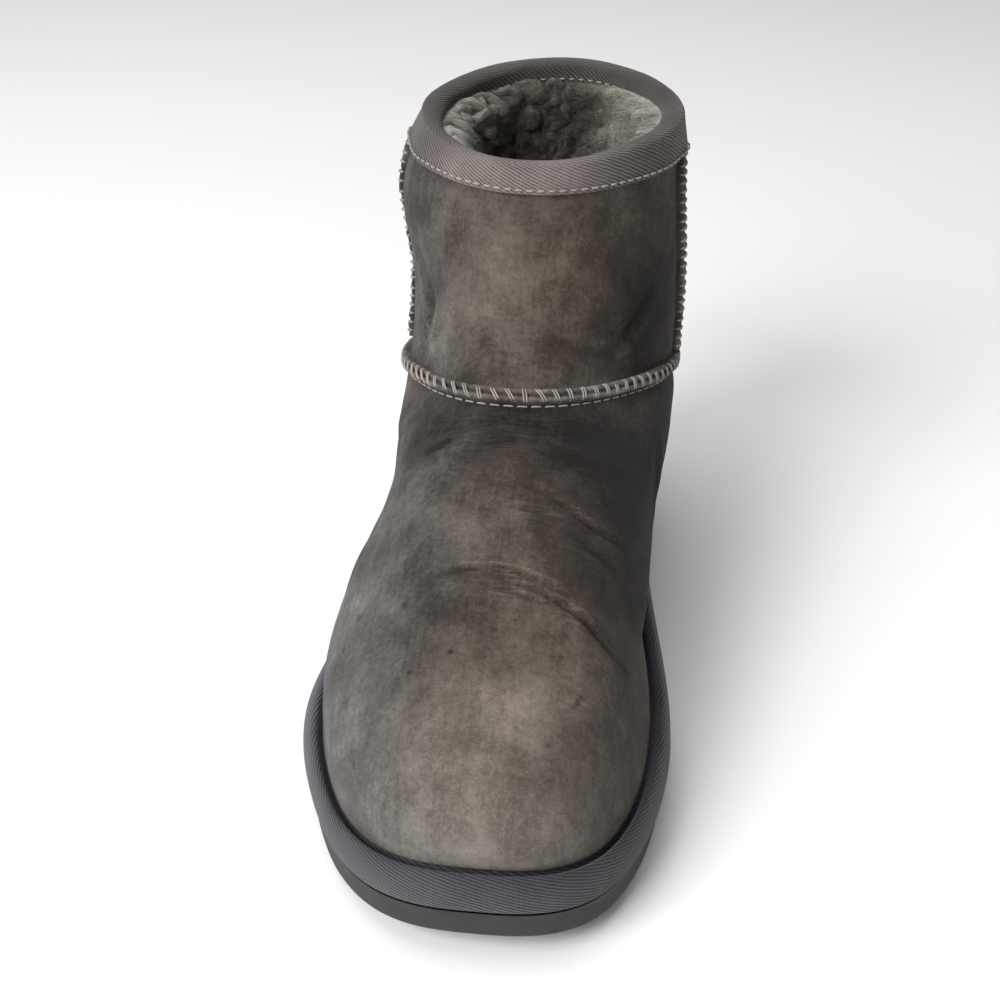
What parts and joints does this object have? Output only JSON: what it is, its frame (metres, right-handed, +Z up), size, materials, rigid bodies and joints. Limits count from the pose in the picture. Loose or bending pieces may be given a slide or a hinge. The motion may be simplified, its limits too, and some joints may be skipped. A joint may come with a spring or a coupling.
{
  "type": "sheepskin boot",
  "caption": "Short pull-on sheepskin ankle boot for the right foot, grey suede outside and wool inside, with an overlocked ankle seam, twill collar tape and a flat rubber sole.",
  "frame": {"origin": "the middle of the boot's footprint box, on the floor it stands on", "axes": "+Z up, toe to -Y, heel to +Y, inner side of the foot to +X"},
  "size_m": [0.1078, 0.268, 0.1634],
  "materials": {
    "outsole": "moulded foam rubber, matt and lightly worn",
    "midsole": "grey twill tape wrapped over a soft board",
    "insole": "shorn wool footbed",
    "upper": "grey suede side of sheepskin, mottled and creased, wool on the inside",
    "shaft": "grey suede side of sheepskin, wool on the inside",
    "ankle_seam": "raw hide edges bound with whip stitches",
    "side_seam_outer": "raw hide edges bound with whip stitches",
    "side_seam_inner": "raw hide edges bound with whip stitches",
    "collar_binding": "grey twill tape, edge stitched"
  },
  "bodies": {
    "root": {"outsole": "outsole", "midsole": "midsole", "insole": "insole", "upper": "upper", "shaft": "shaft", "ankle_seam": "ankle_seam", "side_seam_outer": "side_seam_outer", "side_seam_inner": "side_seam_inner", "collar_binding": "collar_binding"}
  },
  "joints": []
}
